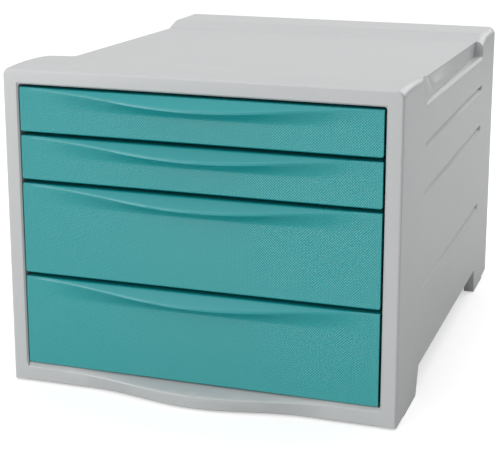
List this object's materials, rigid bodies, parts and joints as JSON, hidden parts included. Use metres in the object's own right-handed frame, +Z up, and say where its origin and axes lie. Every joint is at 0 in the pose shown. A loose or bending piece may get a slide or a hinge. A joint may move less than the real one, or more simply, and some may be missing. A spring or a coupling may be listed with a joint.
{
  "type": "desktop drawer unit",
  "caption": "Free-standing desktop unit of stacked pull-out drawers, shallow over deep, in a moulded casing with wave-shaped handle lips.",
  "frame": {"origin": "centre of the overall footprint, on the surface that the foot pads stand on", "axes": "+X to the right as seen from the front, +Y to the back, +Z up; the drawers open along -Y"},
  "size_m": [0.285, 0.3774, 0.2326],
  "materials": {
    "casing_grey": "satin moulded light grey polystyrene",
    "panel_grey": "satin moulded light grey polystyrene",
    "drawer_teal": "satin moulded teal polystyrene with a fine diamond grain on the flat of each front",
    "pad_rubber": "matt dark grey non-slip pad"
  },
  "bodies": {
    "housing": {"casing": "casing_grey", "back_panel": "panel_grey", "foot_pad_front_right": "pad_rubber", "foot_pad_front_left": "pad_rubber", "foot_pad_rear_right": "pad_rubber", "foot_pad_rear_left": "pad_rubber"},
    "drawer_top_small": {"drawer_top_small": "drawer_teal"},
    "drawer_second_small": {"drawer_second_small": "drawer_teal"},
    "drawer_third_large": {"drawer_third_large": "drawer_teal"},
    "drawer_bottom_large": {"drawer_bottom_large": "drawer_teal"}
  },
  "joints": [
    {"name": "drawer_top_small_slide", "type": "slide", "parent": "housing", "child": "drawer_top_small", "axis": [0, -1, 0], "range_m": [0, 0.2447]},
    {"name": "drawer_second_small_slide", "type": "slide", "parent": "housing", "child": "drawer_second_small", "axis": [0, -1, 0], "range_m": [0, 0.2447]},
    {"name": "drawer_third_large_slide", "type": "slide", "parent": "housing", "child": "drawer_third_large", "axis": [0, -1, 0], "range_m": [0, 0.2447]},
    {"name": "drawer_bottom_large_slide", "type": "slide", "parent": "housing", "child": "drawer_bottom_large", "axis": [0, -1, 0], "range_m": [0, 0.2447]}
  ]
}
